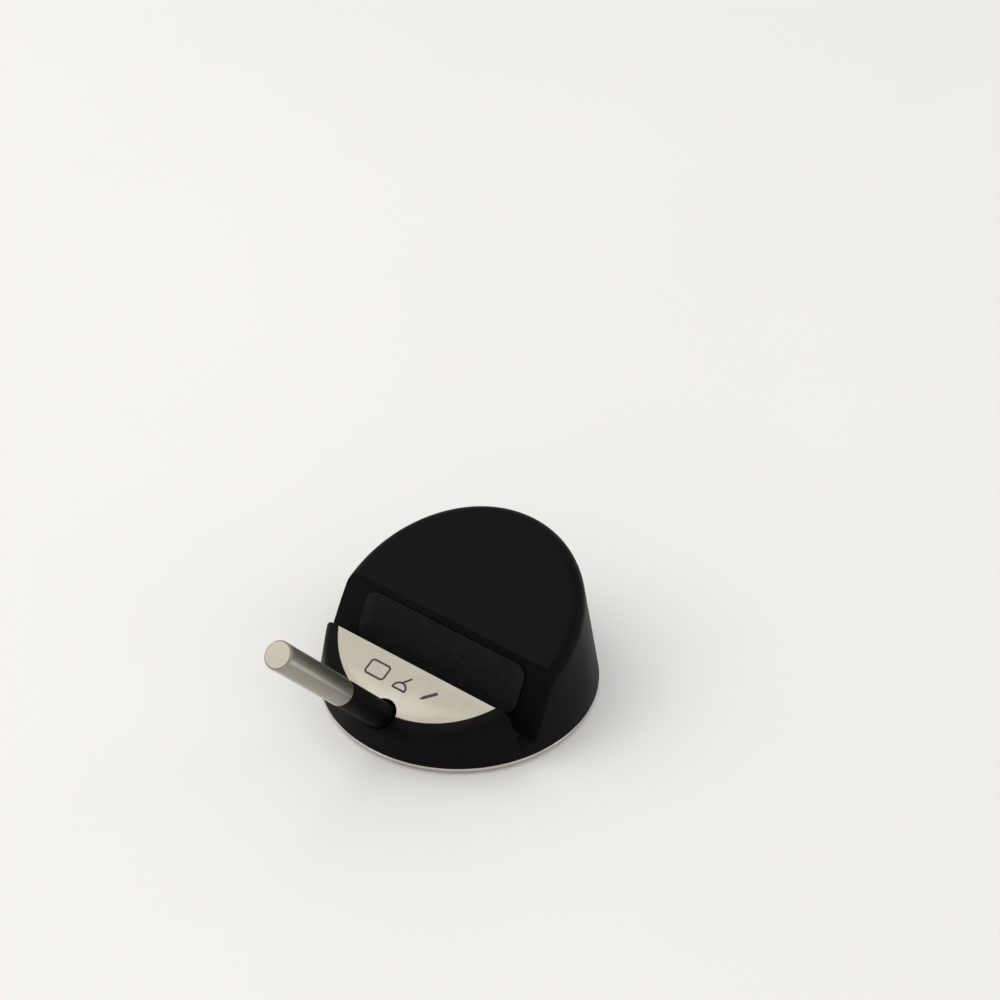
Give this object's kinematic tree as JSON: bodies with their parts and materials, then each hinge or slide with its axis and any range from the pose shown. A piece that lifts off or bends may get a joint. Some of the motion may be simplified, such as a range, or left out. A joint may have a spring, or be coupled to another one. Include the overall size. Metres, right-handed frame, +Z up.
{
  "type": "tablet stand",
  "caption": "Round weighted stand with a slanted cross slot and backrest for a tablet, a silver front plate and a stylus in a forward-leaning socket.",
  "frame": {"origin": "centre of the underside of the anti-slip pad", "axes": "+Z up, +Y to the back of the stand, +X to the right of someone facing the silver plate"},
  "size_m": [0.1108, 0.1603, 0.0852],
  "materials": {
    "black_shell": "fine spark-eroded matte black moulding",
    "silver_plate": "fine bead-blasted, clear anodised",
    "clear_film": "adhesive transfer film",
    "soft_pad": "matte silicone",
    "polished_base": "turned and satin polished edge",
    "foot_rubber": "matte, fine grain",
    "cast_iron": "as cast",
    "zinc_steel": "zinc plated",
    "brass": "turned",
    "satin_alloy": "satin anodised tube",
    "grip_rubber": "soft-touch matte",
    "nib_rubber": "conductive silicone, satin"
  },
  "bodies": {
    "stand": {"body_shell": "black_shell", "face_plate": "silver_plate", "face_plate_adhesive": "clear_film", "slot_floor_pad": "soft_pad", "backrest_pad": "soft_pad", "base_plate": "polished_base", "anti_slip_film": "clear_film", "anti_slip_pad": "foot_rubber", "ballast_weight": "cast_iron", "base_screw_1": "zinc_steel", "base_screw_2": "zinc_steel", "base_screw_3": "zinc_steel", "base_screw_4": "zinc_steel", "ballast_screw_1": "zinc_steel", "ballast_screw_2": "zinc_steel", "threaded_insert_1": "brass", "threaded_insert_2": "brass", "threaded_insert_3": "brass", "threaded_insert_4": "brass"},
    "stylus": {"stylus_barrel": "satin_alloy", "stylus_end_cap": "satin_alloy", "stylus_grip": "grip_rubber", "stylus_core": "zinc_steel", "stylus_ferrule": "brass", "stylus_tip": "nib_rubber"}
  },
  "joints": [
    {"name": "stylus_pull", "type": "slide", "parent": "stand", "child": "stylus", "axis": [0, -0.617, 0.7869], "range_m": [0, 0.06]}
  ]
}
